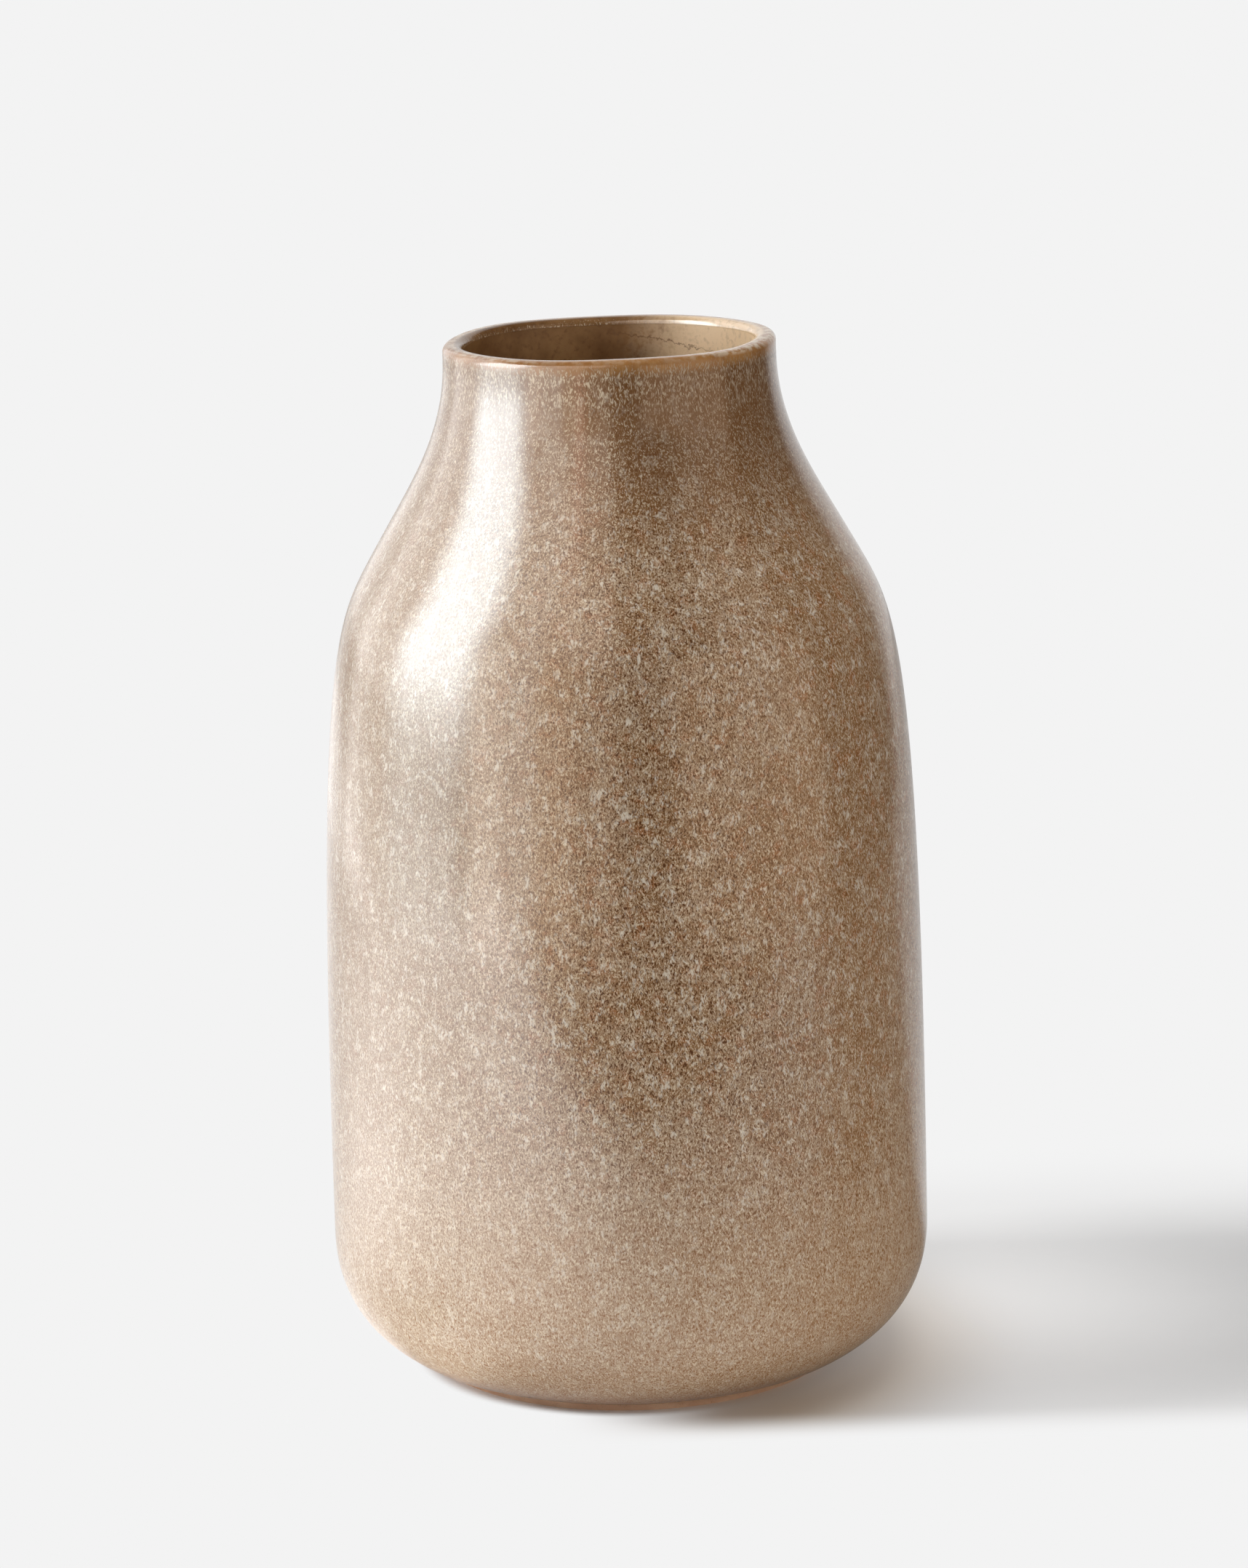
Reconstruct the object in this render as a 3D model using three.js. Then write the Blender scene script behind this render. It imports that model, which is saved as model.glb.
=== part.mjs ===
// Glazed stoneware vase: a turned clay body under an amber base glaze, a pale reactive glaze and an inner liner glaze.
// Millimetres, +Z up, with the origin at the middle of the foot, on the table.
import * as THREE from 'three';

// Heights of the clay, stacked from the table up
const footBand = 2.9; // bare clay below the glaze line
const heelRise = 38.1; // glaze line to the belly, the widest place
const bodyRise = 209.6; // belly to the steepest place of the shoulder
const neckRise = 63.8; // shoulder to the top of the neck's curve
const collarRise = 5.1; // upright collar at the mouth, with the lip's rounding

// Radii of the clay outside
const footRadius = 64.9; // at the glaze line
const footTaper = 1.2; // the foot draws in by this much towards the table
const bellyRadius = 91.9;
const shoulderRadius = 75.3;
const neckRadius = 50.0;

// How the outside runs, in degrees from upright, positive where it leans in as it rises
const footLean = -66;
const shoulderLean = 29;

// How far the outline follows its direction on leaving or meeting each place
const footReach = 20;
const bellyReachBelow = 16;
const bellyReachAbove = 178;
const shoulderReachBelow = 19.5;
const shoulderReachAbove = 31.3;
const neckReach = 24.8;

// Clay thickness
const bodyWall = 6.0;
const lipWall = 5.2;
const lipRounding = 1.8;
const floorThickness = 6.5;

// Flat of the floor inside, and how its curve runs up to the wall
const floorRadius = 54;
const floorReach = 18;
const innerHeelReach = 17;

// Turned foot
const footRingWidth = 8.5;
const recessDepth = 3.0;

// Glaze coats
const baseCoat = 0.4;
const reactiveCoat = 0.4;
const linerCoat = 0.4;
const bondGap = 0.1; // clearance between a coat and what it lies on
const reactiveMargin = 2.0; // strip of base glaze left showing above the glaze line

// Facets: sides round the axis, and steps along each stretch of the outline, fewer inside than outside
const sides = 40;
const heelSteps = 6;
const bodySteps = 7;
const neckSteps = 7;
const roundSteps = 2;
const innerHeelSteps = 5;
const innerBodySteps = 4;
const innerNeckSteps = 4;

// A place on the outline and the direction in which the outline rises through it
function place(radius, height, leanDegrees) {
  const lean = THREE.MathUtils.degToRad(leanDegrees);
  return {
    at: new THREE.Vector2(radius, height),
    way: new THREE.Vector2(-Math.sin(lean), Math.cos(lean)),
  };
}

// The place that lies a wall's thickness further in
function inset(outer, wall) {
  const inward = new THREE.Vector2(-outer.way.y, outer.way.x);
  return { at: outer.at.clone().addScaledVector(inward, wall), way: outer.way };
}

// The place a short straight run further up
function runOn(from, length) {
  return { at: from.at.clone().addScaledVector(from.way, length), way: from.way };
}

// Smooth stretch that leaves one place and meets the next along their directions
function stretch(from, to, reachOut, reachIn, steps) {
  const leave = from.at.clone().addScaledVector(from.way, reachOut);
  const meet = to.at.clone().addScaledVector(to.way, -reachIn);
  return new THREE.CubicBezierCurve(from.at, leave, meet, to.at).getPoints(steps);
}

// Quarter round of the lip, from its outer or inner side
function quarterRound(radius, height, round, startDegrees) {
  const start = THREE.MathUtils.degToRad(startDegrees);
  const arc = new THREE.EllipseCurve(radius, height, round, round, start, start + Math.PI / 2);
  return arc.getPoints(roundSteps);
}

// Stretches end to end, without the point that each shares with the one before
function chain(...stretches) {
  return stretches.flatMap((points, i) => (i === 0 ? points : points.slice(1)));
}

// The same outline lifted off the surface that it follows
function lifted(outline, height) {
  return outline.map((point, i) => {
    const before = outline[Math.max(i - 1, 0)];
    const after = outline[Math.min(i + 1, outline.length - 1)];
    const way = after.clone().sub(before).normalize();
    return point.clone().add(new THREE.Vector2(way.y, -way.x).multiplyScalar(height));
  });
}

// Solid turned about the upright axis, from an outline that runs up the outside and down the inside
function turned(name, outline, finish) {
  const mesh = new THREE.Mesh(new THREE.LatheGeometry(outline, sides), new THREE.MeshStandardMaterial(finish));
  mesh.name = name;
  return mesh;
}

// Places on the outside, from the glaze line to the collar
const glazeLine = place(footRadius, footBand, footLean);
const reactiveStart = runOn(glazeLine, reactiveMargin);
const belly = place(bellyRadius, footBand + heelRise, 0);
const shoulder = place(shoulderRadius, belly.at.y + bodyRise, shoulderLean);
const neckTop = place(neckRadius, shoulder.at.y + neckRise, 0);
const lipTop = neckTop.at.y + collarRise;
const lipRound = Math.min(lipRounding, lipWall * 0.45, collarRise * 0.9);

const outside = chain(
  [glazeLine.at, reactiveStart.at],
  stretch(reactiveStart, belly, footReach, bellyReachBelow, heelSteps),
  stretch(belly, shoulder, bellyReachAbove, shoulderReachBelow, bodySteps),
  stretch(shoulder, neckTop, shoulderReachAbove, neckReach, neckSteps),
);

// Rounded lip, from the collar's outer foot to its inner foot
const mouthRadius = neckRadius - lipWall;
const innerNeckTop = place(mouthRadius, neckTop.at.y, 0);
const lip = [
  neckTop.at,
  ...quarterRound(neckRadius - lipRound, lipTop - lipRound, lipRound, 0),
  ...quarterRound(mouthRadius + lipRound, lipTop - lipRound, lipRound, 90),
];

// Inside, drawn upward from the middle of the floor and then turned round to run down from the lip
const floorTop = recessDepth + floorThickness;
const floorEdge = place(floorRadius, floorTop, -90);
const innerBelly = inset(belly, bodyWall);
const innerShoulder = inset(shoulder, bodyWall);
const inside = chain(
  [new THREE.Vector2(0, floorTop), floorEdge.at],
  stretch(floorEdge, innerBelly, floorReach, innerHeelReach, innerHeelSteps),
  stretch(innerBelly, innerShoulder, bellyReachAbove, shoulderReachBelow, innerBodySteps),
  stretch(innerShoulder, innerNeckTop, shoulderReachAbove, neckReach, innerNeckSteps),
).reverse();

// Underside: recess, foot ring and the bare band up to the glaze line
const ringOuter = footRadius - footTaper;
const ringInner = ringOuter - footRingWidth;
const underside = [
  new THREE.Vector2(0, recessDepth),
  new THREE.Vector2(ringInner - recessDepth, recessDepth),
  new THREE.Vector2(ringInner, 0),
  new THREE.Vector2(ringOuter, 0),
];

// Clay surface from the glaze line over the lip to the middle of the floor
const claySurface = [...chain(outside, lip), ...inside];
const lipInnerEdge = outside.length + lip.length - 2;

// The two faces of a coat over one run of the clay's points
function coatFaces(first, last, height, thickness) {
  return {
    under: lifted(claySurface, height).slice(first, last + 1).reverse(),
    over: lifted(claySurface, height + thickness).slice(first, last + 1),
  };
}

const base = coatFaces(0, lipInnerEdge, bondGap, baseCoat);
const reactiveHeight = bondGap + baseCoat + bondGap;
const reactive = coatFaces(1, outside.length - 1, reactiveHeight, reactiveCoat);
const liner = coatFaces(lipInnerEdge, claySurface.length - 1, bondGap, linerCoat);

const body = turned('stoneware_body', [...underside, ...claySurface], {
  color: 0x8f6244,
  roughness: 0.85,
  metalness: 0,
});
const baseGlaze = turned('base_glaze', [...base.over, ...base.under, base.over[0]], {
  color: 0x9c7043,
  roughness: 0.2,
  metalness: 0,
});
const reactiveGlaze = turned('reactive_glaze', [...reactive.over, ...reactive.under, reactive.over[0]], {
  color: 0xb59c82,
  roughness: 0.2,
  metalness: 0,
});
const linerGlaze = turned('liner_glaze', [...liner.under, ...liner.over], {
  color: 0x94714b,
  roughness: 0.3,
  metalness: 0,
});

// The lathe turns about Y, so the vase is stood up along Z
const upright = new THREE.Group();
upright.rotation.x = Math.PI / 2;
upright.add(body, baseGlaze, reactiveGlaze, linerGlaze);

const vase = new THREE.Group();
vase.add(upright);

export default vase;
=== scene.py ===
# Glazed stoneware vase on a plain pale floor.
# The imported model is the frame, and finely turned pieces stand for its solids.
import math

import bpy
import numpy as np
from mathutils import Matrix, Vector


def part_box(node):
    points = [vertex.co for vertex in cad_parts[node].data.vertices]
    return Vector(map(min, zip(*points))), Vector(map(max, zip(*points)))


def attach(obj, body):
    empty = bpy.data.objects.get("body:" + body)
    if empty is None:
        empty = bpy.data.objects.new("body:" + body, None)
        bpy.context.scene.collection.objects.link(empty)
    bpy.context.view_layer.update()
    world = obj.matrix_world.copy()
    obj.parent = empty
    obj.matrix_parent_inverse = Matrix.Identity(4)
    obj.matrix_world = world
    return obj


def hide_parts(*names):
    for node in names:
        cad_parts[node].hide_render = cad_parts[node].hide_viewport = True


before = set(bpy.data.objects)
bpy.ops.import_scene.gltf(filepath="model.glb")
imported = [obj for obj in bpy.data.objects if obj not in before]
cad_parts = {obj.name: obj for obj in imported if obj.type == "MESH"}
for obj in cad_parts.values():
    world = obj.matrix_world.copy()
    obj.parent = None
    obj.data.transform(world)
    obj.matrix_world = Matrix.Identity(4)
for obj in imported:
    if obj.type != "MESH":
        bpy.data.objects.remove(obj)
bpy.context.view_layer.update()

# Sizes taken from the frame, in metres
clay_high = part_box("stoneware_body")[1]
BELLY_RADIUS = clay_high.x
LIP_TOP = clay_high.z
NECK_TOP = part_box("reactive_glaze")[1].z

# Outline of the clay, in metres and degrees from upright, as the solids have it
GLAZE_LINE = 0.0029
FOOT_RADIUS = 0.0649
FOOT_TAPER = 0.0012
BELLY_HEIGHT = 0.0410
SHOULDER_HEIGHT = 0.2506
SHOULDER_RADIUS = 0.0753
NECK_RADIUS = 0.0500
FOOT_LEAN = -66
SHOULDER_LEAN = 29
FOOT_REACH = 0.0200
BELLY_REACH_BELOW = 0.0160
BELLY_REACH_ABOVE = 0.1780
SHOULDER_REACH_BELOW = 0.0195
SHOULDER_REACH_ABOVE = 0.0313
NECK_REACH = 0.0248

# Clay thickness, floor and turned foot
BODY_WALL = 0.0060
LIP_WALL = 0.0052
LIP_ROUNDING = 0.0018
FLOOR_TOP = 0.0095
FLOOR_RADIUS = 0.0540
FLOOR_REACH = 0.0180
INNER_HEEL_REACH = 0.0170
FOOT_RING_WIDTH = 0.0085
RECESS_DEPTH = 0.0030
FOOT_EDGE = 0.0006

# Glaze coats
COAT = 0.0004
BOND_GAP = 0.0001
REACTIVE_MARGIN = 0.0020

# The pale coat thins out over these lengths, to this thickness, and sinks into the amber coat by this depth
FEATHER_FOOT = 0.0060
FEATHER_LIP = 0.0240
FEATHER_EDGE = 0.00005
FEATHER_DEPTH = 0.00002

# Fineness of the turned meshes
SIDES = 256
STEP = 0.0016
INNER_STEP = 2 * STEP
CURVE_STEPS = 64
ROUND_STEPS = 10
AXIS_TOLERANCE = 1e-6
SHARP_DEGREES = 40

# Hand-thrown unevenness of the mouth, which dies away down the neck
LIP_TILT = 0.011
LIP_WAVE = 0.00022
LIP_WAVES = ((3, 0.6, 1.0), (5, 2.1, 0.6))  # count round the lip, start in radians, share
WOBBLE_START = 0.235

# Camera at the photograph's viewing angle, with places in metres and turns in degrees
IMAGE_HEIGHT_PX = 2156
FOCAL_PX = 7324.7
SENSOR_MM = 36.0
CAMERA_PLACE = (0.0, -1.600, 0.5535)
CAMERA_PITCH = 13.10
CAMERA_YAW = 0.043
CAMERA_ROLL = 1.436
CLIP_END = 100.0

# Pale surroundings
PALE = (0.896, 0.896, 0.896, 1.0)


# Outline of a turned shape, as rows of radius and height


def place(radius, height, lean_degrees):
    """A place on the outline and the direction in which the outline rises through it."""
    lean = math.radians(lean_degrees)
    return np.array([radius, height]), np.array([-math.sin(lean), math.cos(lean)])


def inset(outer, thickness):
    """The place that lies a wall's thickness further in."""
    at, way = outer
    return at + thickness * np.array([-way[1], way[0]]), way


def stretch(start, end, reach_out, reach_in):
    """Smooth stretch that leaves one place and meets the next along their directions."""
    (a, leave), (d, meet) = start, end
    b = a + reach_out * leave
    c = d - reach_in * meet
    t = np.linspace(0, 1, CURVE_STEPS + 1)[:, None]
    return (1 - t) ** 3 * a + 3 * (1 - t) ** 2 * t * b + 3 * (1 - t) * t**2 * c + t**3 * d


def quarter_round(radius, height, rounding, start_degrees):
    """Quarter circle about a centre, turning anticlockwise."""
    turn = np.radians(start_degrees + np.linspace(0, 90, ROUND_STEPS + 1))
    return np.stack([radius + rounding * np.cos(turn), height + rounding * np.sin(turn)], axis=1)


def chain(*stretches):
    """Stretches end to end, without the point that each shares with the one before."""
    return np.vstack([stretches[0]] + [points[1:] for points in stretches[1:]])


def run_of(outline):
    """Length along the outline up to each of its points."""
    steps = np.hypot(*np.diff(outline, axis=0).T)
    return np.concatenate([[0.0], np.cumsum(steps)])


def even(outline, step):
    """The same outline with points at even steps."""
    run = run_of(outline)
    count = max(2, round(run[-1] / step) + 1)
    at = np.linspace(0, run[-1], count)
    return np.stack([np.interp(at, run, column) for column in outline.T], axis=1)


def lifted(outline, height):
    """The outline lifted off the surface that it follows, by one height or a height for each point."""
    way = np.gradient(outline, axis=0)
    way /= np.linalg.norm(way, axis=1)[:, None]
    normal = np.stack([way[:, 1], -way[:, 0]], axis=1)
    return outline + normal * np.broadcast_to(height, len(outline))[:, None]


# Clay outline
glaze_line = place(FOOT_RADIUS, GLAZE_LINE, FOOT_LEAN)
reactive_start = (glaze_line[0] + REACTIVE_MARGIN * glaze_line[1], glaze_line[1])
belly = place(BELLY_RADIUS, BELLY_HEIGHT, 0)
shoulder = place(SHOULDER_RADIUS, SHOULDER_HEIGHT, SHOULDER_LEAN)
neck_top = place(NECK_RADIUS, NECK_TOP, 0)
MOUTH_RADIUS = NECK_RADIUS - LIP_WALL

margin = np.array([glaze_line[0], reactive_start[0]])
wall = even(
    chain(
        stretch(reactive_start, belly, FOOT_REACH, BELLY_REACH_BELOW),
        stretch(belly, shoulder, BELLY_REACH_ABOVE, SHOULDER_REACH_BELOW),
        stretch(shoulder, neck_top, SHOULDER_REACH_ABOVE, NECK_REACH),
    ),
    STEP,
)
lip = np.vstack(
    [
        even(np.array([neck_top[0], [NECK_RADIUS, LIP_TOP - LIP_ROUNDING]]), STEP)[:-1],
        quarter_round(NECK_RADIUS - LIP_ROUNDING, LIP_TOP - LIP_ROUNDING, LIP_ROUNDING, 0),
        quarter_round(MOUTH_RADIUS + LIP_ROUNDING, LIP_TOP - LIP_ROUNDING, LIP_ROUNDING, 90),
    ]
)
floor_edge = place(FLOOR_RADIUS, FLOOR_TOP, -90)
inner_neck = place(MOUTH_RADIUS, NECK_TOP, 0)
inner_belly = inset(belly, BODY_WALL)
inner_shoulder = inset(shoulder, BODY_WALL)
inside = even(
    chain(
        np.array([[0.0, FLOOR_TOP], floor_edge[0]]),
        stretch(floor_edge, inner_belly, FLOOR_REACH, INNER_HEEL_REACH),
        stretch(inner_belly, inner_shoulder, BELLY_REACH_ABOVE, SHOULDER_REACH_BELOW),
        stretch(inner_shoulder, inner_neck, SHOULDER_REACH_ABOVE, NECK_REACH),
        np.array([inner_neck[0], [MOUTH_RADIUS, LIP_TOP - LIP_ROUNDING]]),
    ),
    INNER_STEP,
)[::-1]


# Turned meshes


def handmade(points):
    """The slight lean and wave of a hand-thrown mouth, none of it below the shoulder."""
    x, y, z = points.T
    rise = np.clip((z - WOBBLE_START) / (LIP_TOP - WOBBLE_START), 0, 1) ** 2
    turn = np.arctan2(y, x)
    wave = sum(share * np.sin(count * turn + start) for count, start, share in LIP_WAVES)
    lifted_z = z + rise * (LIP_TILT * x + LIP_WAVE * wave)
    return np.stack([x, y, lifted_z], axis=1)


def turned(name, outline, closed):
    """Mesh turned about the upright axis from an outline that closes on itself or ends on the axis."""
    turn = np.linspace(0, 2 * math.pi, SIDES, endpoint=False)
    points, rings = [], []
    for radius, height in outline:
        count = 1 if radius < AXIS_TOLERANCE else SIDES
        rings.append(len(points) + np.arange(count))
        points += [(radius * math.cos(a), radius * math.sin(a), height) for a in turn[:count]]
    faces = []
    following = rings[1:] + (rings[:1] if closed else [])
    for low, high in zip(rings, following):
        for i in range(SIDES):
            j = (i + 1) % SIDES
            if len(low) == 1:
                faces.append((low[0], high[j], high[i]))
            elif len(high) == 1:
                faces.append((low[i], low[j], high[0]))
            else:
                faces.append((low[i], low[j], high[j], high[i]))
    mesh = bpy.data.meshes.new(name)
    mesh.from_pydata(handmade(np.array(points)).tolist(), [], [tuple(map(int, face)) for face in faces])
    mesh.shade_smooth()
    mesh.set_sharp_from_angle(angle=math.radians(SHARP_DEGREES))
    piece = bpy.data.objects.new(name, mesh)
    bpy.context.scene.collection.objects.link(piece)
    return piece


def coat(name, surface, height, thickness):
    """Closed skin over one run of the clay's surface."""
    over = lifted(surface, height + thickness)
    under = lifted(surface, height)
    return turned(name, np.vstack([over, under[::-1]]), closed=True)


def make_body():
    """The clay, from the underside's middle round the foot and over the lip to the floor's middle."""
    ring_outer = FOOT_RADIUS - FOOT_TAPER
    ring_inner = ring_outer - FOOT_RING_WIDTH
    underside = np.array(
        [
            [0.0, RECESS_DEPTH],
            [ring_inner - RECESS_DEPTH, RECESS_DEPTH],
            [ring_inner - FOOT_EDGE, FOOT_EDGE],
            [ring_inner, 0.0],
            [ring_outer - FOOT_EDGE, 0.0],
            [ring_outer, FOOT_EDGE],
        ]
    )
    outline = np.vstack([underside, chain(margin, wall, lip), inside[1:]])
    return turned("vase_body", outline, closed=False)


def make_amber_coat():
    """The coat on the clay, from the glaze line to the lip's inner edge."""
    surface = chain(margin, wall, lip)
    return coat("amber_coat", surface, BOND_GAP, COAT)


def make_reactive_coat():
    """The pale coat, which thins out at both ends and settles onto the amber coat there."""
    run = run_of(wall)
    share = np.minimum(run / FEATHER_FOOT, (run[-1] - run) / FEATHER_LIP)
    share = np.clip(share, 0, 1)
    share = share * share * (3 - 2 * share)
    height = BOND_GAP + COAT - FEATHER_DEPTH + (BOND_GAP + FEATHER_DEPTH) * share
    thickness = FEATHER_EDGE + (COAT - FEATHER_EDGE) * share
    return coat("reactive_coat", wall, height, thickness)


def make_liner_coat():
    """The coat on the inner wall and the floor."""
    over = lifted(inside, BOND_GAP + COAT)
    under = lifted(inside, BOND_GAP)
    outline = np.vstack([under[::-1], over])
    outline[0, 0] = outline[-1, 0] = 0.0
    return turned("liner_coat", outline, closed=False)


# Node trees


def shade(red, green, blue):
    """Scene colour of an ordinary 0 to 255 screen colour."""
    share = np.array([red, green, blue]) / 255
    linear = np.where(share <= 0.04045, share / 12.92, ((share + 0.055) / 1.055) ** 2.4)
    return (*(float(value) for value in linear), 1.0)


class Nodes:
    """Short forms for building one node tree."""

    def __init__(self, tree):
        self.tree = tree

    def add(self, kind, inputs=None, **settings):
        """A new node with its settings and inputs."""
        node = self.tree.nodes.new("ShaderNode" + kind)
        for name, value in settings.items():
            setattr(node, name, value)
        for name, value in (inputs or {}).items():
            self.put(node.inputs[name], value)
        return node

    def put(self, socket, value):
        """Link a socket to another one, or give it a plain value."""
        if isinstance(value, bpy.types.NodeSocket):
            self.tree.links.new(value, socket)
        else:
            socket.default_value = value

    def math(self, operation, *values, clamp=False):
        """What a math node makes of its values."""
        inputs = dict(enumerate(values))
        return self.add("Math", inputs, operation=operation, use_clamp=clamp).outputs[0]

    def product(self, first, *others):
        """Values multiplied together."""
        for other in others:
            first = self.math("MULTIPLY", first, other)
        return first

    def vector(self, operation, *values):
        """What a vector math node makes of its values."""
        return self.add("VectorMath", dict(enumerate(values)), operation=operation).outputs[0]

    def length(self, vector):
        """Length of a vector."""
        return self.add("VectorMath", {0: vector}, operation="LENGTH").outputs["Value"]

    def split(self, vector):
        """Parts of a vector along each axis."""
        return self.add("SeparateXYZ", {0: vector}).outputs

    def noise(self, at, scale, detail, roughness, output=0):
        """Smooth noise at a place."""
        inputs = {"Vector": at, "Scale": scale, "Detail": detail, "Roughness": roughness}
        return self.add("TexNoise", inputs).outputs[output]

    def remap(self, value, low, high, to_low=0.0, to_high=1.0):
        """Smooth change from one level to another as a value passes over a span."""
        inputs = {"Value": value, 1: low, 2: high, 3: to_low, 4: to_high}
        return self.add("MapRange", inputs, interpolation_type="SMOOTHSTEP").outputs[0]

    def mix(self, share, first, second):
        """Blend of two colours."""
        node = self.add("Mix", {0: share, 6: first, 7: second}, data_type="RGBA")
        return node.outputs[2]

    def relief(self, shader, height, strength, depth):
        """Slight relief on a shader, from a pattern."""
        bump = self.add("Bump", {"Height": height, "Strength": strength, "Distance": depth})
        self.put(shader.inputs["Normal"], bump.outputs[0])


def new_material(name):
    """A material with its own shader, and the short forms for its tree."""
    material = bpy.data.materials.new(name)
    material.use_nodes = True
    nodes = Nodes(material.node_tree)
    shader = material.node_tree.nodes["Principled BSDF"]
    return material, nodes, shader


def place_in_mm(nodes):
    """Place on the object in millimetres."""
    place_m = nodes.add("TexCoord").outputs["Object"]
    return nodes.vector("MULTIPLY", place_m, (1000.0, 1000.0, 1000.0))


def bearing_of(nodes, x, y):
    """Bearing of a place round the vase, in radians: 0 is the camera's side, and positive to its right."""
    return nodes.math("ARCTAN2", x, nodes.math("MULTIPLY", y, -1.0))


# Materials, with places and lengths in millimetres, and the scale of a noise in grains for each millimetre.
# A span is two values, from none to full, and then the two levels there where these aren't 0 and 1.

CLAY_COLOURS = (shade(214, 172, 140), shade(226, 188, 156))
CLAY_CLOUDS = (0.35, 0.65)
CLAY_SPECKS = (0.62, 0.72)
CLAY_SPECK_COLOUR = shade(158, 112, 82)
CLAY_ROUGHNESS = 0.85
CLAY_RELIEF = 0.35
CLAY_RELIEF_M = 0.0003


def make_stoneware():
    """Bare pinkish clay with darker specks and a sandy grain."""
    material, nodes, shader = new_material("bare_stoneware")
    at = place_in_mm(nodes)
    cloud = nodes.noise(at, scale=0.12, detail=4.0, roughness=0.6)
    grain = nodes.noise(at, scale=2.4, detail=3.0, roughness=0.6)
    clay = nodes.mix(nodes.remap(cloud, *CLAY_CLOUDS), *CLAY_COLOURS)
    clay = nodes.mix(nodes.remap(grain, *CLAY_SPECKS), clay, CLAY_SPECK_COLOUR)
    nodes.put(shader.inputs["Base Color"], clay)
    shader.inputs["Roughness"].default_value = CLAY_ROUGHNESS
    nodes.relief(shader, grain, CLAY_RELIEF, CLAY_RELIEF_M)
    return material


AMBER_COLOURS = (shade(144, 96, 50), shade(168, 120, 70))
AMBER_CLOUDS = (0.3, 0.7)
AMBER_STREAKS = (0.50, 0.75, 0.0, 0.35)
AMBER_STREAK_COLOUR = shade(196, 156, 110)
AMBER_STRETCH = (1.0, 1.0, 0.35)


def amber_colour(nodes, at):
    """Honey-coloured ground glaze, darker where it pooled, with paler upright streaks."""
    cloud = nodes.noise(at, scale=0.10, detail=3.0, roughness=0.6)
    drawn = nodes.vector("MULTIPLY", at, AMBER_STRETCH)
    streaks = nodes.noise(drawn, scale=0.9, detail=3.0, roughness=0.6)
    amber = nodes.mix(nodes.remap(cloud, *AMBER_CLOUDS), *AMBER_COLOURS)
    return nodes.mix(nodes.remap(streaks, *AMBER_STREAKS), amber, AMBER_STREAK_COLOUR)


LINER_COLOURS = (shade(104, 70, 38), shade(138, 102, 64))
LINER_CLOUDS = (0.3, 0.7)
LINER_SPOTS = (0.50, 0.70, 0.0, 0.6)
LINER_SPOT_COLOUR = shade(92, 58, 30)
LINER_ROUGHNESS = 0.35
LINER_RELIEF = 0.2
LINER_RELIEF_M = 0.0003

# Painted light on the inner wall where the key falls: to one side, near the mouth, with a border that the
# spots push about
LIT_INNER_SIDE = (2.0, 30.0)
LIT_INNER_HEIGHT = (230.0, 300.0)
LIT_INNER_DRIFT = 22.0
LIT_INNER_COLOUR = shade(222, 192, 155)
LIT_INNER_SPOTS = 0.45  # what is left of the spots there

# Fine line of an overlap: its height on the axis, how it sinks and wanders, its fade, and where it is seen
OVERLAP_HEIGHT = 315.3
OVERLAP_SLOPE = 0.16
OVERLAP_WANDER = 5.0
OVERLAP_FADE = (0.35, 0.05)
OVERLAP_BACK = (5.0, 25.0, 0.0, 0.7)
OVERLAP_SIDE = (-2.0, 6.0)
OVERLAP_COLOUR = shade(96, 62, 34)


def liner_colour(nodes, at):
    """Mottled brown inside glaze, with painted light to one side near the mouth, an overlap's line there,
    and its spots.
    """
    x, y, z = nodes.split(at)
    cloud = nodes.noise(at, scale=0.06, detail=4.0, roughness=0.6)
    spots = nodes.noise(at, scale=0.5, detail=3.0, roughness=0.6)
    uneven = nodes.math("SUBTRACT", spots, 0.5)
    # Painted light on the inner wall's right side near the mouth
    side = nodes.math("MULTIPLY_ADD", uneven, LIT_INNER_DRIFT, x)
    lit_inner = nodes.product(nodes.remap(side, *LIT_INNER_SIDE), nodes.remap(z, *LIT_INNER_HEIGHT))
    brown = nodes.mix(nodes.remap(cloud, *LINER_CLOUDS), *LINER_COLOURS)
    brown = nodes.mix(lit_inner, brown, LIT_INNER_COLOUR)
    fainter = nodes.remap(lit_inner, 0.0, 1.0, 1.0, LIT_INNER_SPOTS)
    spotted = nodes.product(nodes.remap(spots, *LINER_SPOTS), fainter)
    brown = nodes.mix(spotted, brown, LINER_SPOT_COLOUR)

    line = nodes.math("MULTIPLY_ADD", x, OVERLAP_SLOPE, z)
    line = nodes.math("MULTIPLY_ADD", uneven, OVERLAP_WANDER, line)
    line = nodes.math("ABSOLUTE", nodes.math("SUBTRACT", line, OVERLAP_HEIGHT))
    shown = nodes.product(nodes.remap(y, *OVERLAP_BACK), nodes.remap(x, *OVERLAP_SIDE))
    edge = nodes.product(nodes.remap(line, *OVERLAP_FADE), shown)
    return nodes.mix(edge, brown, OVERLAP_COLOUR), spots


def make_liner():
    """Inside glaze, duller than the outside."""
    material, nodes, shader = new_material("liner_glaze")
    brown, spots = liner_colour(nodes, place_in_mm(nodes))
    nodes.put(shader.inputs["Base Color"], brown)
    shader.inputs["Roughness"].default_value = LINER_ROUGHNESS
    nodes.relief(shader, spots, LINER_RELIEF, LINER_RELIEF_M)
    return material


# Strands of the outside glaze: lean and fineness of each crossing layer, and how drawn out they are
WEB_LAYERS = ((0.0, 2.30), (0.30, 2.10), (-0.26, 2.20))
WEB_STRETCH = 0.42
COMB_LAYERS = ((0.0, 2.30), (0.15, 2.10), (-0.12, 2.20))
COMB_STRETCH = 0.25
WISP_LAYERS = ((0.05, 1.35), (0.28, 1.20), (-0.25, 1.05))
WISP_STRETCH = 0.34
CLUSTER_STRETCH = (1.0, 1.0, 0.7)
BEND = (1.6, 1.6, 1.6)
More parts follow.
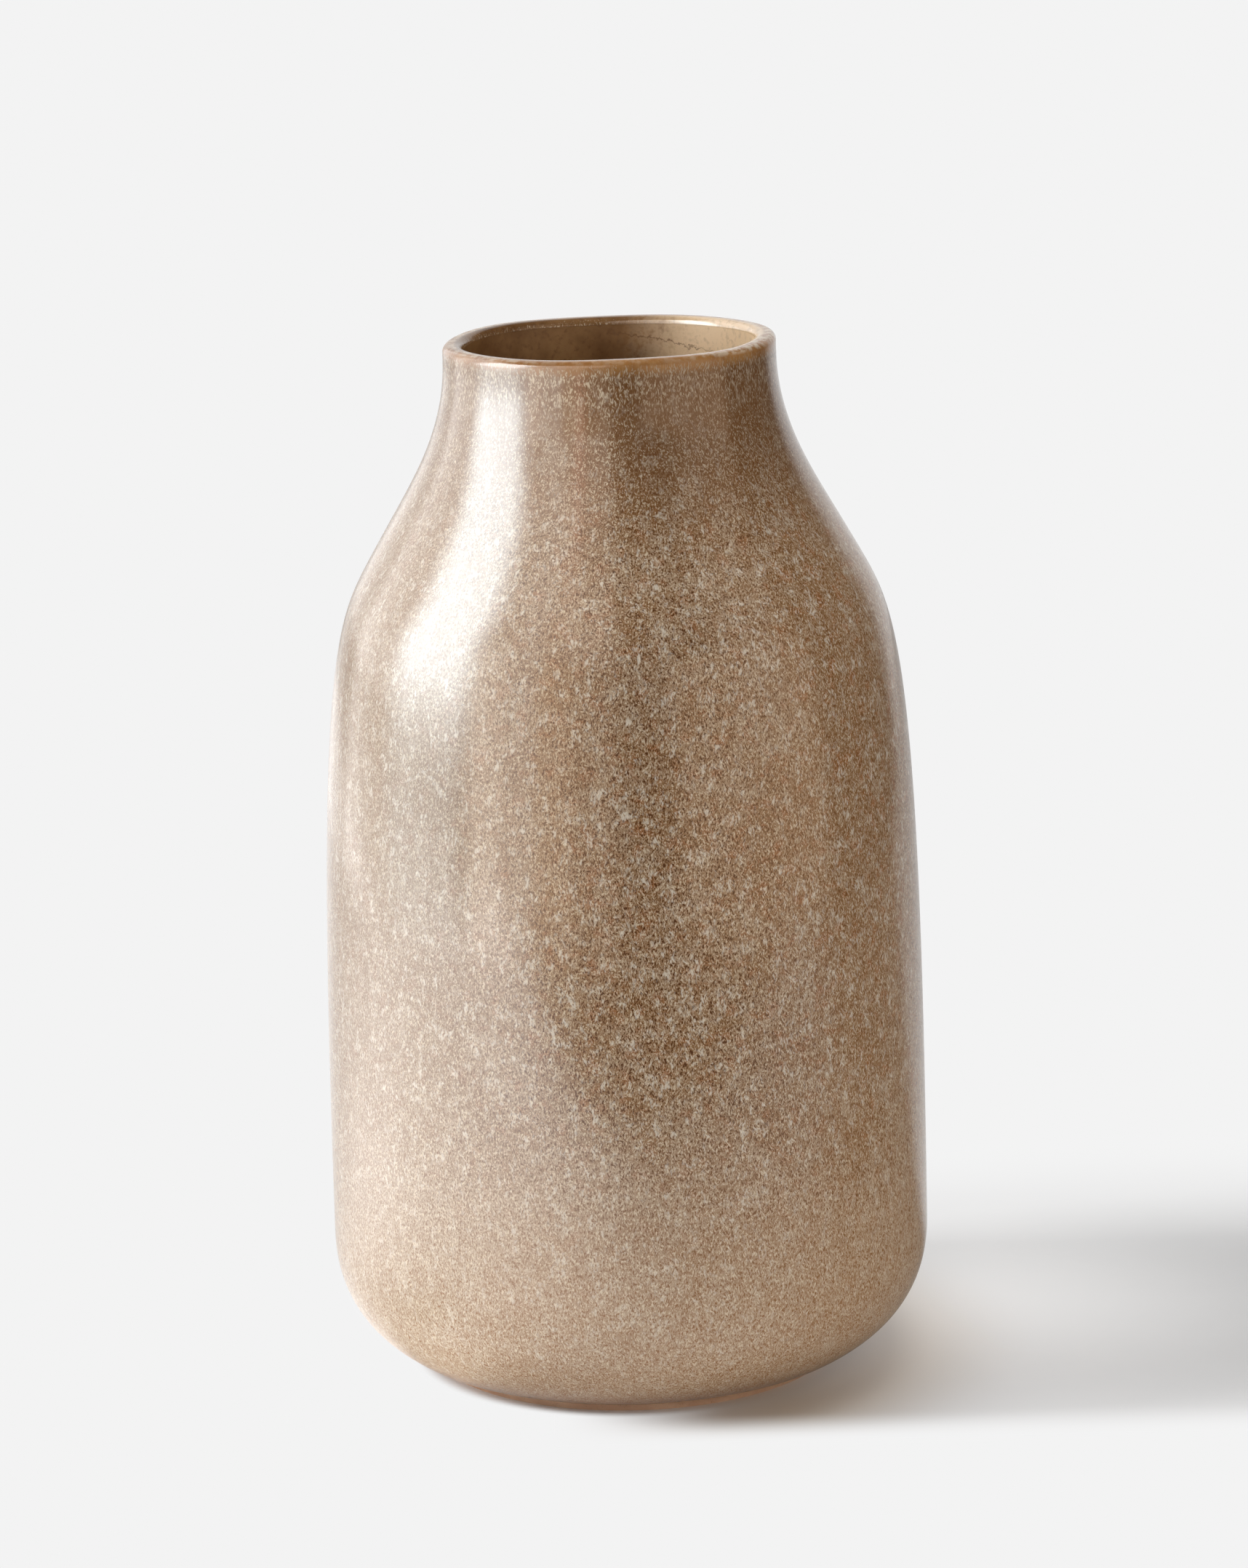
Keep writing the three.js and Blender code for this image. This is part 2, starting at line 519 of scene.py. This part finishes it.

# Zones of the outside: where each begins, and where it is full. The right side counts by half. The side
# zones carry painted light on the left, where the key and the softbox fall, and painted shade on the right.
ZONES_BY_HEIGHT = {"near_lip": (292.0, 314.0), "high_neck": (255.0, 300.0), "low_wall": (120.0, 30.0)}
ZONES_BY_SIDE = {"lit_left_side": (-20.0, -75.0), "shaded_right_side": (25.0, 70.0, 0.0, 0.5)}

# Ground, and its tone in some of the zones: zone, share and colour. The paler tone on the lit left side is
# painted light.
GROUND_COLOURS = (shade(151, 114, 79), shade(157, 107, 68))
GROUND_TONES = (
    ("high_neck", 0.9, shade(130, 90, 53)),
    ("low_wall", 0.8, shade(171, 133, 97)),
    ("lit_left_side", 0.5, shade(147, 124, 97)),
)
RUST_SHIFT = (70.0, 30.0, 10.0)
RUST_PATCHES = (0.50, 0.70)

# Reddish run down the front of the neck: bearing and half width in radians, heights and strength
RUN_BEARING = math.radians(-10)
RUN_HALF_WIDTH = 0.06
RUN_HEIGHTS = (240.0, 275.0, 0.0, 0.6)
RUN_COLOUR = shade(150, 92, 54)

# Milky veil, pale strands and white wisps: the level of each, and how the zones raise or lower it. Less of
# each on the shaded right side, which leaves it browner, is painted shade.
VEIL_LEVEL = 0.08
VEIL_SHARES = {"low_wall": 0.19, "high_neck": -0.08, "shaded_right_side": -0.16}
VEIL_CLOUDS = (0.3, 0.7, -0.07, 0.07)
VEIL_MILK = (0.44, 0.64, -0.05, 0.13)
VEIL_CLUSTERS = (0.46, 0.64, 0.0, 0.08)
VEIL_COLOUR = shade(203, 183, 159)
MILK_SHIFT = (20.0, 90.0, 40.0)
STRAND_SPAN = (0.60, 0.72)
STRAND_LIP_GAIN = 0.02
STRAND_LEVEL = 0.85
STRAND_SHARES = {"shaded_right_side": -0.30}
STRAND_COLOUR = shade(222, 203, 174)
CLUSTER_SPAN = (0.47, 0.63)
WISP_SPAN = (0.56, 0.71)
WISP_LEVEL = 0.75
WISP_SHARES = {"high_neck": -0.50, "shaded_right_side": -0.40, "low_wall": -0.35}
WISP_COLOUR = shade(231, 220, 202)

# Pits between the strands, dark ones and calm ones, and how calm each zone is
PIT_SPAN = (0.55, 0.48)
PIT_COLOURS = (shade(88, 52, 24), shade(142, 98, 56))
# The lighter, calmer pits on the low wall and the lit left side are painted light, where the glaze mirrors
# the bright table and the softbox.
CALM_SHARES = {"low_wall": 1.0, "lit_left_side": 0.75, "shaded_right_side": 1.0, "high_neck": 0.4}

# Painted shade on the right of the neck, and darker and browner just above the foot
NECK_SHADE_SIDE = (-6.0, 16.0, 0.0, 0.38)
NECK_SHADE_COLOUR = shade(96, 64, 38)
FOOT_DARKENING_HEIGHT = (13.0, 4.0, 0.0, 0.6)
FOOT_DARKENING_COLOUR = shade(150, 106, 78)

# Bare amber at the top of the lip: its ragged border, a pale, mottled painted reflection on its crown's
# sides, and the radius at which the inside glaze takes over
BARE_HEIGHT = (315.0, 318.5)
RAGGED_MIDDLE = 0.58
RAGGED_DEPTH = -9.0
CROWN_HEIGHT = (318.4, 319.6)
CROWN_REFLECTION_SIDES = (15.0, 40.0, 0.25, 1.0)
CROWN_REFLECTION_MOTTLE = (0.42, 0.60, 0.0, 0.8)
CROWN_REFLECTION_COLOUR = shade(208, 188, 162)
INNER_RADIUS = (47.4, 46.2)

# Gloss and relief of the outside
GLAZE_ROUGHNESS = 0.12
PIT_ROUGHNESS = 0.08
GLAZE_IOR = 1.55
WEB_RELIEF = 0.32
WEB_RELIEF_M = 0.0001


def strands_over(nodes, at, height, layers, drawn_out):
    """Crossing layers of upright strands, each with its own lean and fineness, the highest one on top."""
    top = None
    for lean, scale in layers:
        slant = nodes.math("MULTIPLY", height, lean)
        aside = nodes.add("CombineXYZ", {0: slant, 1: slant}).outputs[0]
        run = nodes.vector("MULTIPLY", nodes.vector("ADD", at, aside), (1.0, 1.0, drawn_out))
        layer = nodes.noise(run, scale, detail=1.0, roughness=0.5)
        top = layer if top is None else nodes.math("MAXIMUM", top, layer)
    return top


def bent_place(nodes, at):
    """The place pushed aside a little, so that what is drawn there bends."""
    swirl = nodes.noise(at, scale=0.30, detail=2.0, roughness=0.5, output="Color")
    aside = nodes.vector("SUBTRACT", swirl, (0.5, 0.5, 0.5))
    return nodes.vector("ADD", at, nodes.vector("MULTIPLY", aside, BEND))


def glaze_zones(nodes, x, z):
    """How far each place belongs to each zone."""
    zones = {name: nodes.remap(z, *span) for name, span in ZONES_BY_HEIGHT.items()}
    zones.update({name: nodes.remap(x, *span) for name, span in ZONES_BY_SIDE.items()})
    return zones


def weighed(nodes, zones, level, shares):
    """A level that some of the zones raise or lower."""
    for zone, share in shares.items():
        level = nodes.math("MULTIPLY_ADD", zones[zone], share, level)
    return level


def calmest(nodes, zones):
    """How calm the glaze is, from the zone that calms it most."""
    calm = 0.0
    for zone, share in CALM_SHARES.items():
        calm = nodes.math("MAXIMUM", calm, nodes.math("MULTIPLY", zones[zone], share))
    return calm


def ground_colour(nodes, at, zones):
    """Tan ground with rusty patches, its tone in the zones, and the reddish run."""
    x, y, z = nodes.split(at)
    rust = nodes.noise(nodes.vector("ADD", at, RUST_SHIFT), scale=0.24, detail=2.0, roughness=0.6)
    ground = nodes.mix(nodes.remap(rust, *RUST_PATCHES), *GROUND_COLOURS)
    for zone, share, colour in GROUND_TONES:
        ground = nodes.mix(nodes.math("MULTIPLY", zones[zone], share), ground, colour)
    aside = nodes.math("ABSOLUTE", nodes.math("SUBTRACT", bearing_of(nodes, x, y), RUN_BEARING))
    run = nodes.product(nodes.remap(aside, RUN_HALF_WIDTH, 0.0), nodes.remap(z, *RUN_HEIGHTS))
    return nodes.mix(run, ground, RUN_COLOUR)


def veil_share(nodes, at, bent, clusters, zones):
    """How milky the glaze is: in broad clouds, in patches, and round the clusters of wisps."""
    cloud = nodes.noise(at, scale=0.045, detail=3.0, roughness=0.55)
    milk = nodes.noise(nodes.vector("ADD", bent, MILK_SHIFT), scale=0.17, detail=2.0, roughness=0.6)
    veil = weighed(nodes, zones, VEIL_LEVEL, VEIL_SHARES)
    veil = nodes.math("ADD", veil, nodes.remap(cloud, *VEIL_CLOUDS))
    veil = nodes.math("ADD", veil, nodes.remap(milk, *VEIL_MILK))
    return nodes.math("ADD", veil, nodes.remap(clusters, *VEIL_CLUSTERS), clamp=True)


def lip_colour(nodes, at):
    """Amber with a pale, mottled painted reflection on the sides of the lip's crown, and the inside glaze
    from its inner edge on.
    """
    x, _, z = nodes.split(at)
    # Pale painted reflection on the sides of the crown
    crown_reflection = nodes.noise(at, scale=0.35, detail=3.0, roughness=0.6)
    crown_reflection = nodes.remap(crown_reflection, *CROWN_REFLECTION_MOTTLE)
    sides = nodes.remap(nodes.math("ABSOLUTE", x), *CROWN_REFLECTION_SIDES)
    crown_reflection = nodes.product(crown_reflection, nodes.remap(z, *CROWN_HEIGHT), sides)
    amber = nodes.mix(crown_reflection, amber_colour(nodes, at), CROWN_REFLECTION_COLOUR)
    radius = nodes.length(nodes.vector("MULTIPLY", at, (1.0, 1.0, 0.0)))
    return nodes.mix(nodes.remap(radius, *INNER_RADIUS), amber, liner_colour(nodes, at)[0])


def glaze_colour(nodes, at):
    """Pale web with dark pits and white wisps that ran over a tan ground, and the web and pits alone."""
    x, _, z = nodes.split(at)
    zones = glaze_zones(nodes, x, z)
    near_lip = zones["near_lip"]

    # The web combs out into upright strands towards the lip
    bent = bent_place(nodes, at)
    comb = strands_over(nodes, bent, z, COMB_LAYERS, COMB_STRETCH)
    web = strands_over(nodes, bent, z, WEB_LAYERS, WEB_STRETCH)
    web = nodes.math("MULTIPLY_ADD", near_lip, nodes.math("SUBTRACT", comb, web), web)
    pits = nodes.remap(web, *PIT_SPAN)
    strands = nodes.remap(nodes.math("MULTIPLY_ADD", near_lip, STRAND_LIP_GAIN, web), *STRAND_SPAN)
    strands = nodes.product(strands, weighed(nodes, zones, STRAND_LEVEL, STRAND_SHARES))

    # Wisps come in clusters
    drawn = nodes.vector("MULTIPLY", bent, CLUSTER_STRETCH)
    clusters = nodes.noise(drawn, scale=0.34, detail=2.0, roughness=0.55)
    wisps = strands_over(nodes, bent, z, WISP_LAYERS, WISP_STRETCH)
    wisps = nodes.product(nodes.remap(clusters, *CLUSTER_SPAN), nodes.remap(wisps, *WISP_SPAN))
    wisps = nodes.product(wisps, weighed(nodes, zones, WISP_LEVEL, WISP_SHARES))

    colour = ground_colour(nodes, at, zones)
    colour = nodes.mix(veil_share(nodes, at, bent, clusters, zones), colour, VEIL_COLOUR)
    colour = nodes.mix(pits, colour, nodes.mix(calmest(nodes, zones), *PIT_COLOURS))
    colour = nodes.mix(strands, colour, STRAND_COLOUR)
    colour = nodes.mix(wisps, colour, WISP_COLOUR)
    # Painted shade on the right of the neck, where little light is mirrored
    painted_neck_shade = nodes.product(zones["high_neck"], nodes.remap(x, *NECK_SHADE_SIDE))
    colour = nodes.mix(painted_neck_shade, colour, NECK_SHADE_COLOUR)
    # Darker and browner just above the foot
    colour = nodes.mix(nodes.remap(z, *FOOT_DARKENING_HEIGHT), colour, FOOT_DARKENING_COLOUR)

    ragged = nodes.math("MULTIPLY_ADD", nodes.math("SUBTRACT", comb, RAGGED_MIDDLE), RAGGED_DEPTH, z)
    colour = nodes.mix(nodes.remap(ragged, *BARE_HEIGHT), colour, lip_colour(nodes, at))
    return colour, web, pits


def make_outer_glaze(name):
    """Glossy outside glaze, duller in the pits, with the web in slight relief."""
    material, nodes, shader = new_material(name)
    colour, web, pits = glaze_colour(nodes, place_in_mm(nodes))
    nodes.put(shader.inputs["Base Color"], colour)
    roughness = nodes.math("MULTIPLY_ADD", pits, PIT_ROUGHNESS, GLAZE_ROUGHNESS)
    nodes.put(shader.inputs["Roughness"], roughness)
    shader.inputs["IOR"].default_value = GLAZE_IOR
    nodes.relief(shader, web, WEB_RELIEF, WEB_RELIEF_M)
    return material


def make_amber():
    """The outside glaze on the amber coat, which carries the pattern on past the pale coat's thin ends."""
    return make_outer_glaze("amber_base_glaze")


def make_reactive():
    """The outside glaze on the pale coat."""
    return make_outer_glaze("reactive_glaze")


# Pieces on the frame
PIECES = [
    (make_body, make_stoneware, "stoneware_body", "stoneware"),
    (make_amber_coat, make_amber, "base_glaze", "amber_glaze"),
    (make_reactive_coat, make_reactive, "reactive_glaze", "reactive_glaze"),
    (make_liner_coat, make_liner, "liner_glaze", "liner_glaze"),
]
for make_piece, make_material, node, slot in PIECES:
    piece = make_piece()
    piece.data.materials.append(make_material())
    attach(piece, "root")
    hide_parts(node)


# Studio, in metres


def make_camera():
    """Camera that looks at the vase as the photograph does."""
    data = bpy.data.cameras.new("camera")
    data.sensor_width = SENSOR_MM
    data.lens = SENSOR_MM * FOCAL_PX / IMAGE_HEIGHT_PX
    data.clip_end = CLIP_END
    camera = bpy.data.objects.new("camera", data)
    turn = Matrix.Rotation(math.radians(-CAMERA_YAW), 4, "Z")
    tip = Matrix.Rotation(math.radians(90 - CAMERA_PITCH), 4, "X")
    roll = Matrix.Rotation(math.radians(-CAMERA_ROLL), 4, "Z")
    camera.matrix_world = Matrix.Translation(CAMERA_PLACE) @ turn @ tip @ roll
    bpy.context.scene.collection.objects.link(camera)
    bpy.context.scene.camera = camera


# Floor: two corners, paint, and a painted shade, tinted warm, that it has close to the vase on the shaded
# side
FLOOR_LOW = (-1.60, -0.42)
FLOOR_HIGH = (0.75, 1.60)
FLOOR_PAINT = ((0.84, 0.84, 0.84, 1.0), (0.86, 0.86, 0.86, 1.0))
FLOOR_GRAIN = 60.0
FLOOR_ROUGHNESS = 0.9
CONTACT_SHADE_COLOUR = (0.58, 0.47, 0.34, 1.0)
CONTACT_SHADE_REACH = (0.130, 0.070, 0.0, 0.8)
CONTACT_SHADE_SIDE = (-0.02, 0.05)

# Shade beside the vase that the camera sees a little lifted
LIFT_PLACE = (0.105, 0.03, 0.0)
LIFT_REACH = (0.12, 0.0, 0.0, 0.27)

# The floor stays in sight inside an ellipse and close to the foot, and less so on the lit sides
SIGHT_MIDDLE = (0.20, 0.02, 0.0)
SIGHT_HALF_AXES = (0.39, 0.18, 1.0)
SIGHT_EDGE = (0.20, 1.0)
SIGHT_REACH = (0.085, 0.15)
LIT_LEFT = (0.030, -0.025)
LIT_FRONT = (-0.068, -0.094)
LIT_REACH = (0.064, 0.070)

# Painted shade in the glaze's mirror: the floor at the right shows dark to mirrored rays, up to where most
# of the way from the vase leads back
DIM_COLOUR = (0.16, 0.10, 0.05, 1.0)
DIM_SIDE = (0.03, 0.15, 0.0, 0.8)
DIM_FRONT = (-0.25, 0.0)
DIM_BACK = (0.66, 0.50)


def paint_floor(nodes, shader, at, x, reach):
    """Pale matt paint, with a warm painted shade close to the vase on the shaded side."""
    grain = nodes.noise(at, FLOOR_GRAIN, detail=2.0, roughness=0.5)
    # Painted shade, tinted warm, close to the vase on the shaded side
    contact_shade = nodes.product(nodes.remap(reach, *CONTACT_SHADE_REACH), nodes.remap(x, *CONTACT_SHADE_SIDE))
    paint = nodes.mix(contact_shade, nodes.mix(grain, *FLOOR_PAINT), CONTACT_SHADE_COLOUR)
    nodes.put(shader.inputs["Base Color"], paint)
    shader.inputs["Roughness"].default_value = FLOOR_ROUGHNESS
    shader.inputs["Specular IOR Level"].default_value = 0.0


def floor_fade(nodes, at, x, y, reach):
    """How far the floor gives way to the surroundings."""
    away = nodes.vector("DIVIDE", nodes.vector("SUBTRACT", at, SIGHT_MIDDLE), SIGHT_HALF_AXES)
    fade = nodes.product(nodes.remap(nodes.length(away), *SIGHT_EDGE), nodes.remap(reach, *SIGHT_REACH))
    in_sight = nodes.math("SUBTRACT", 1.0, fade)
    clear = nodes.remap(reach, *LIT_REACH)
    for lit_side in (nodes.remap(x, *LIT_LEFT), nodes.remap(y, *LIT_FRONT)):
        kept = nodes.math("SUBTRACT", 1.0, nodes.product(lit_side, clear))
        in_sight = nodes.product(in_sight, kept)
    return nodes.math("SUBTRACT", 1.0, in_sight)


def floor_dim(nodes, x, y, reach):
    """How far the floor is painted dark as shade in the glaze's mirror."""
    beside = nodes.remap(nodes.math("DIVIDE", y, reach), *DIM_BACK)
    return nodes.product(nodes.remap(x, *DIM_SIDE), nodes.remap(y, *DIM_FRONT), beside)


def make_floor():
    """Pale table that keeps the shadow near the vase and fades into the surroundings further out."""
    (x0, y0), (x1, y1) = FLOOR_LOW, FLOOR_HIGH
    mesh = bpy.data.meshes.new("floor")
    mesh.from_pydata([(x0, y0, 0), (x1, y0, 0), (x1, y1, 0), (x0, y1, 0)], [], [(0, 1, 2, 3)])
    material, nodes, shader = new_material("pale_floor")
    at = nodes.add("TexCoord").outputs["Object"]
    x, y, _ = nodes.split(at)
    reach = nodes.length(at)
    path = nodes.add("LightPath").outputs
    paint_floor(nodes, shader, at, x, reach)

    beside = nodes.length(nodes.vector("SUBTRACT", at, LIFT_PLACE))
    lift = nodes.product(nodes.remap(beside, *LIFT_REACH), path["Is Camera Ray"])
    glow = nodes.add("Emission", {"Strength": lift})
    lit = nodes.add("AddShader", {0: shader.outputs[0], 1: glow.outputs[0]})
    fade = nodes.product(floor_fade(nodes, at, x, y, reach), path["Is Camera Ray"])
    pale = nodes.add("Emission", {"Color": PALE, "Strength": 1.0})
    seen = nodes.add("MixShader", {0: fade, 1: lit.outputs[0], 2: pale.outputs[0]})
    # Painted shade: the floor at the right is dark in the glaze's mirror
    dim = nodes.product(floor_dim(nodes, x, y, reach), path["Is Glossy Ray"])
    dark = nodes.add("Emission", {"Color": DIM_COLOUR, "Strength": 1.0})
    both = nodes.add("MixShader", {0: dim, 1: seen.outputs[0], 2: dark.outputs[0]})
    nodes.put(material.node_tree.nodes["Material Output"].inputs["Surface"], both.outputs[0])

    mesh.materials.append(material)
    floor = bpy.data.objects.new("floor", mesh)
    bpy.context.scene.collection.objects.link(floor)


UP = Vector((0, 0, 1))


def bearing(azimuth, distance, height):
    """A place round the vase: azimuth 0 is the camera's side, and 90 is to its right."""
    turn = math.radians(azimuth)
    return Vector((distance * math.sin(turn), -distance * math.cos(turn), height))


def make_panel(name, at, aim, size, radiance, tint=(1.0, 1.0, 1.0), lights=True, mirrored=True):
    """Soft lamp that faces a place, and that lights the vase, is mirrored in it, or both."""
    data = bpy.data.lights.new(name, "AREA")
    data.shape = "RECTANGLE"
    data.size, data.size_y = size
    data.energy = radiance * math.pi * size[0] * size[1]
    data.color = tint
    lamp = bpy.data.objects.new(name, data)
    lamp.location = at
    lamp.rotation_euler = (at - aim).to_track_quat("Z", "Y").to_euler()
    lamp.visible_camera = False
    lamp.visible_diffuse = lights
    lamp.visible_glossy = mirrored
    bpy.context.scene.collection.objects.link(lamp)
    return lamp


def lamp_tree(lamp):
    """The short forms for a lamp's own tree, the places on it, and the socket of its strength."""
    lamp.data.use_nodes = True
    nodes = Nodes(lamp.data.node_tree)
    at = nodes.add("NewGeometry").outputs["Position"]
    return nodes, at, lamp.data.node_tree.nodes["Emission"].inputs["Strength"]


# Screens that the glaze mirrors: middle and half width as bearings, foot and head, brightness, tint
SCREEN_DISTANCE = 0.80
WHITE = (1.0, 1.0, 1.0)
COOL = (0.88, 0.96, 1.0)
PALE_CREAM = (1.0, 0.93, 0.86)
CREAM = (1.0, 0.85, 0.73)
WARM = (1.0, 0.79, 0.62)
AMBER = (1.0, 0.70, 0.48)
SCREENS = {
    "screen_far_left": (-114, 16, 0.00, 0.20, 2.1, WHITE),
    "screen_far_left_top": (-114, 16, 0.20, 1.20, 3.0, WHITE),
    "screen_behind_left": (-145, 15, 0.00, 0.20, 0.5, WHITE),
    "screen_behind_left_top": (-145, 15, 0.20, 1.20, 1.0, WHITE),
    "screen_near_left": (-52, 6, 0.00, 0.55, 5.4, PALE_CREAM),
    "screen_near_left_top": (-52, 6, 0.55, 1.20, 3.6, PALE_CREAM),
    "screen_front_left": (-39, 7, 0.00, 1.20, 3.9, PALE_CREAM),
    "screen_front": (-25, 7, 0.00, 0.55, 2.8, WARM),
    "screen_front_top": (-25, 7, 0.55, 1.20, 3.1, CREAM),
    "screen_centre": (-10, 8, 0.00, 0.55, 1.2, WARM),
    "screen_centre_top": (-10, 8, 0.55, 1.20, 2.2, CREAM),
    "card_right": (51, 31, 0.00, 0.55, 1.1, AMBER),
    "card_right_top": (62, 20, 0.55, 1.20, 0.6, AMBER),
}


def make_screens():
    """Plain screens that stand round the vase and face it."""
    for name, (azimuth, half_width, foot, head, radiance, tint) in SCREENS.items():
        at = bearing(azimuth, SCREEN_DISTANCE, (foot + head) / 2)
        width = 2 * SCREEN_DISTANCE * math.tan(math.radians(half_width))
        facing = Vector((0, 0, at.z))
        make_panel(name, at, facing, (width, head - foot), radiance, tint, lights=False)


# Softbox at the left: bearings between which each side fades, and heights between which it brightens
SOFTBOX_BEARING = -77
SOFTBOX_DISTANCE = 0.78
SOFTBOX_SIZE = (0.90, 1.05)
SOFTBOX_LEFT = (-105, -91)
SOFTBOX_RIGHT = (-53, -67)
SOFTBOX_RISE = (0.10, 0.40)
SOFTBOX_LEVELS = (4.6, 15.5)


def make_softbox():
    """Tall softbox with soft borders, which the glaze mirrors as its main highlight."""
    at = bearing(SOFTBOX_BEARING, SOFTBOX_DISTANCE, SOFTBOX_SIZE[1] / 2)
    lamp = make_panel("softbox", at, Vector((0, 0, at.z)), SOFTBOX_SIZE, 1.0, COOL, lights=False)
    nodes, place_on, strength = lamp_tree(lamp)
    x, y, z = nodes.split(place_on)
    turn = nodes.math("DEGREES", bearing_of(nodes, x, y))
    level = nodes.remap(z, *SOFTBOX_RISE, *SOFTBOX_LEVELS)
    for side in (SOFTBOX_LEFT, SOFTBOX_RIGHT):
        level = nodes.product(level, nodes.remap(turn, *side))
    nodes.put(strength, level)


# Bright stretch of the table that the glaze mirrors: its edges, and where it brightens towards the left
GLARE_HEIGHT = 0.002
GLARE_LEFT = -0.80
GLARE_RIGHT = 0.30
GLARE_FRONT = -0.70
GLARE_BACK = 1.20
GLARE_TINT = (0.98, 0.98, 1.0)
GLARE_LEVEL = (0.12, -0.35, 0.0, 4.3)

# It is dim near the vase except in front, and in front it ends close to the foot and fades far out, along a
# slanting line. It dims backward, which is the share of the way from the vase that leads back.
GLARE_NEAR = (0.08, 0.30, 0.35, 1.0)
GLARE_NEAR_FRONT = (-0.30, -0.70)
GLARE_CLOSE = (0.078, 0.115)
GLARE_CLOSE_BACK = (-0.50, -0.15)
GLARE_FRONT_SLANT = -0.45
GLARE_FRONT_FADE = (-0.48, -0.38)
GLARE_BACKWARD = (-0.05, 0.80, 1.0, 0.12)


def make_table_glare():
    """Bright table top, seen only as a reflection low on the glaze."""
    middle = Vector(((GLARE_LEFT + GLARE_RIGHT) / 2, (GLARE_FRONT + GLARE_BACK) / 2, GLARE_HEIGHT))
    size = (GLARE_RIGHT - GLARE_LEFT, GLARE_BACK - GLARE_FRONT)
    lamp = make_panel("table_glare", middle, middle + UP, size, 1.0, GLARE_TINT, lights=False)
    nodes, place_on, strength = lamp_tree(lamp)
    x, y, _ = nodes.split(place_on)
    away = nodes.length(place_on)
    backward = nodes.math("DIVIDE", y, away)
    near_front = nodes.remap(backward, *GLARE_NEAR_FRONT)
    near = nodes.math("MAXIMUM", nodes.remap(away, *GLARE_NEAR), near_front)
    close_back = nodes.remap(backward, *GLARE_CLOSE_BACK)
    close = nodes.math("MAXIMUM", nodes.remap(away, *GLARE_CLOSE), close_back)
    front = nodes.remap(nodes.math("MULTIPLY_ADD", x, GLARE_FRONT_SLANT, y), *GLARE_FRONT_FADE)
    behind = nodes.remap(backward, *GLARE_BACKWARD)
    nodes.put(strength, nodes.product(nodes.remap(x, *GLARE_LEVEL), near, close, front, behind))


# Lamps that light the vase and aren't mirrored in it: place, side of the square, brightness
LAMP_AIM = Vector((0, 0, 0.16))
LAMPS = {
    "key_light": (bearing(-85, 3.0, 1.45), 0.8, 32.0),
    "right_fill": (bearing(60, 3.0, 1.2), 1.5, 3.0),
    "front_fill": (bearing(8, 3.0, 1.4), 2.0, 2.3),
    "top_light": (Vector((0, 0.1, 2.5)), 2.0, 2.0),
}

# Light that the floor throws back up at the heel
BOUNCE_PLACE = Vector((-0.14, -0.10, 0.004))
BOUNCE_SIZE = (0.18, 0.20)
BOUNCE_LEVEL = 0.8


def make_lamps():
    """Key light, fills and the floor's bounce."""
    for name, (at, side, radiance) in LAMPS.items():
        make_panel(name, at, LAMP_AIM, (side, side), radiance, mirrored=False)
    above = BOUNCE_PLACE + UP
    make_panel("floor_bounce", BOUNCE_PLACE, above, BOUNCE_SIZE, BOUNCE_LEVEL, COOL, mirrored=False)


# Room, by the direction looked in: where it is behind the vase, and where the left is dim below the horizon
ROOM = ((0.06, 0.06, 0.06, 1.0), (0.40, 0.40, 0.40, 1.0))
BEHIND_SLANT = -0.35
BEHIND = (0.46, 0.66)
LEFT_DIM = (-0.45, 0.05, 0.30, 1.0)
HORIZON = (-0.10, 0.05)


def make_world():
    """Pale to the camera and in mirrored light from behind, with a dim room that is lighter behind."""
    world = bpy.data.worlds.new("studio")
    world.use_nodes = True
    nodes = Nodes(world.node_tree)
    x, y, z = nodes.split(nodes.add("TexCoord").outputs["Generated"])
    path = nodes.add("LightPath").outputs
    behind = nodes.remap(nodes.math("MULTIPLY_ADD", x, BEHIND_SLANT, y), *BEHIND)
    level = nodes.math("MAXIMUM", nodes.remap(x, *LEFT_DIM), nodes.remap(z, *HORIZON))
    mirrored = nodes.math("MAXIMUM", path["Is Glossy Ray"], path["Is Transmission Ray"])
    seen = nodes.math("MAXIMUM", path["Is Camera Ray"], nodes.product(mirrored, level, behind))
    colour = nodes.mix(seen, nodes.mix(behind, *ROOM), PALE)
    nodes.put(world.node_tree.nodes["Background"].inputs["Color"], colour)
    bpy.context.scene.world = world


make_camera()
make_floor()
make_screens()
make_softbox()
make_table_glare()
make_lamps()
make_world()
bpy.context.scene.view_settings.view_transform = "Standard"
